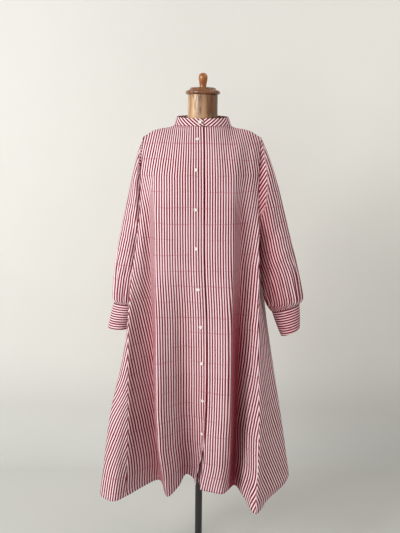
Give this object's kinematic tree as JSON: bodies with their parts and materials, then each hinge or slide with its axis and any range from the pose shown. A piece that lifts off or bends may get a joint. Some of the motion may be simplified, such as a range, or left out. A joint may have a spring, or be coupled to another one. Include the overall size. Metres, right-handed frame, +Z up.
{
  "type": "shirt dress on a limbless dress form",
  "caption": "Loose striped shirt dress with a band collar, long gathered sleeves and deep cuffs, buttoned down the front, hanging on a limbless dress form with a pole and a round base.",
  "frame": {"origin": "middle of the base plate's underside, on the axis of the pole", "axes": "+X to the viewer's right, the wearer's left; +Y away from the viewer, towards the back; +Z up along the pole"},
  "size_m": [0.6531, 0.375, 1.6471],
  "materials": {
    "body_cloth": "matt crinkled cotton, crimson and white stripes",
    "yoke_cloth": "matt crinkled cotton, crimson and white stripes",
    "collar_cloth": "matt crinkled cotton, crimson and white stripes",
    "sleeve_cloth": "matt crinkled cotton, crimson and white stripes",
    "cuff_cloth": "matt crinkled cotton, crimson and white stripes",
    "buttons": "cream resin with a soft gloss",
    "form_cloth": "matt linen cover",
    "form_neck": "old varnished board, streaked and cracked",
    "cap_wood": "satin reddish-brown varnish",
    "knob_wood": "glossy orange-brown varnish",
    "black_metal": "satin black paint"
  },
  "bodies": {
    "root": {"front_right": "body_cloth", "front_left": "body_cloth", "back": "body_cloth", "yoke": "yoke_cloth", "collar_band": "collar_cloth", "sleeve_right": "sleeve_cloth", "sleeve_left": "sleeve_cloth", "cuff_right": "cuff_cloth", "cuff_left": "cuff_cloth", "front_button_1": "buttons", "front_button_2": "buttons", "front_button_3": "buttons", "front_button_4": "buttons", "front_button_5": "buttons", "front_button_6": "buttons", "front_button_7": "buttons", "front_button_8": "buttons", "front_button_9": "buttons", "collar_button": "buttons", "cuff_button_right_1": "buttons", "cuff_button_right_2": "buttons", "cuff_button_left_1": "buttons", "cuff_button_left_2": "buttons", "form_torso": "form_cloth", "form_neck": "form_neck", "form_neck_cap": "cap_wood", "form_knob": "knob_wood", "form_pole": "black_metal", "form_base": "black_metal"}
  },
  "joints": []
}
